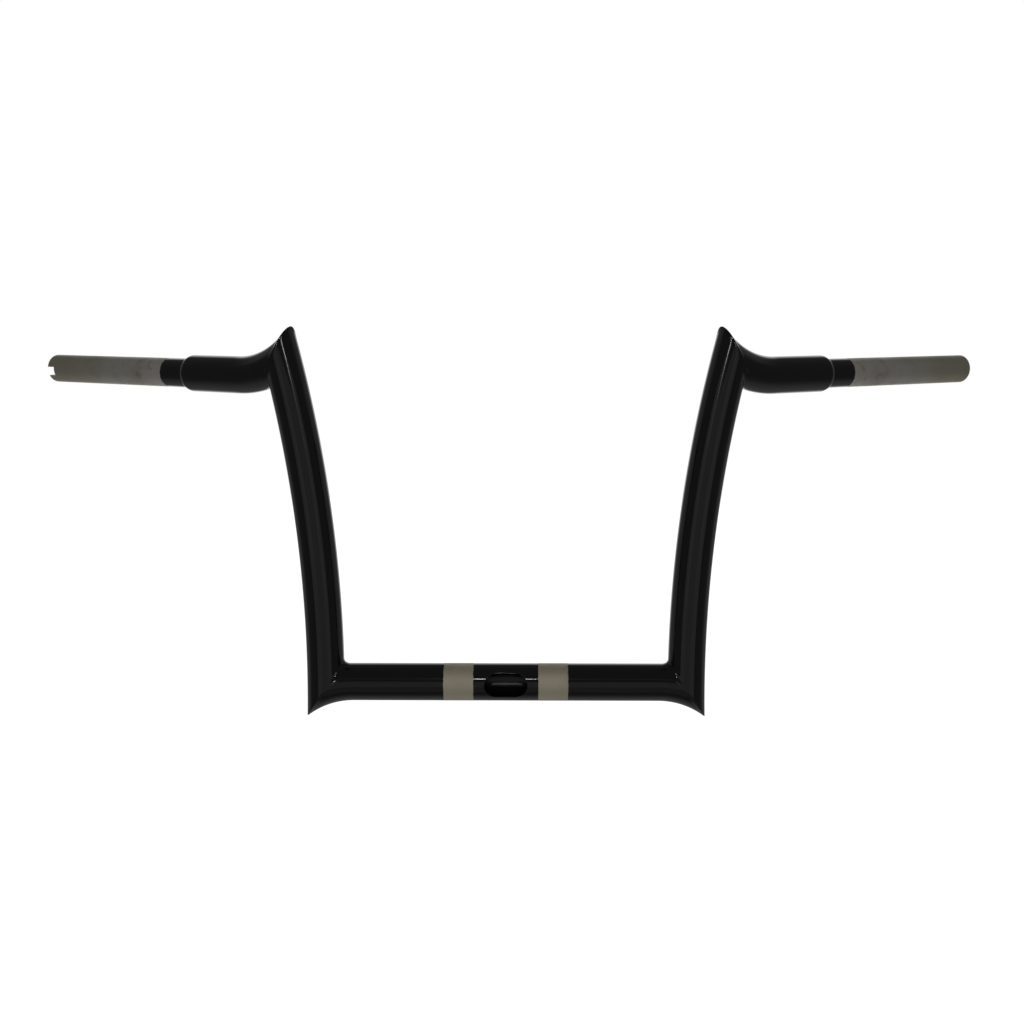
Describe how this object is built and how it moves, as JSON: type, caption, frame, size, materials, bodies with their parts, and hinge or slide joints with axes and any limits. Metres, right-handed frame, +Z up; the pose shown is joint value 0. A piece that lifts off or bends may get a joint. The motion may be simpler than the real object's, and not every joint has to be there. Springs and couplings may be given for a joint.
{
  "type": "ape hanger handlebar",
  "caption": "High-rise motorcycle handlebar with a straight clamping crossbar, tall mitred uprights, pulled-back grips and slots for internal wiring.",
  "frame": {"origin": "on the crossbar's axis, midway between the two riser clamp bands", "axes": "+X along the crossbar to the rider's left, +Y back toward the rider, +Z up; the crossbar and both uprights lie in the XZ plane"},
  "size_m": [0.8688, 0.1705, 0.3302],
  "materials": {
    "black_paint": "gloss",
    "bare_steel": "brushed"
  },
  "bodies": {
    "root": {"crossbar": "black_paint", "left_upright": "black_paint", "right_upright": "black_paint", "left_arm": "black_paint", "right_arm": "black_paint", "left_shoulder_weld": "black_paint", "right_shoulder_weld": "black_paint", "left_grip_tube": "bare_steel", "right_grip_tube": "bare_steel"}
  },
  "joints": []
}
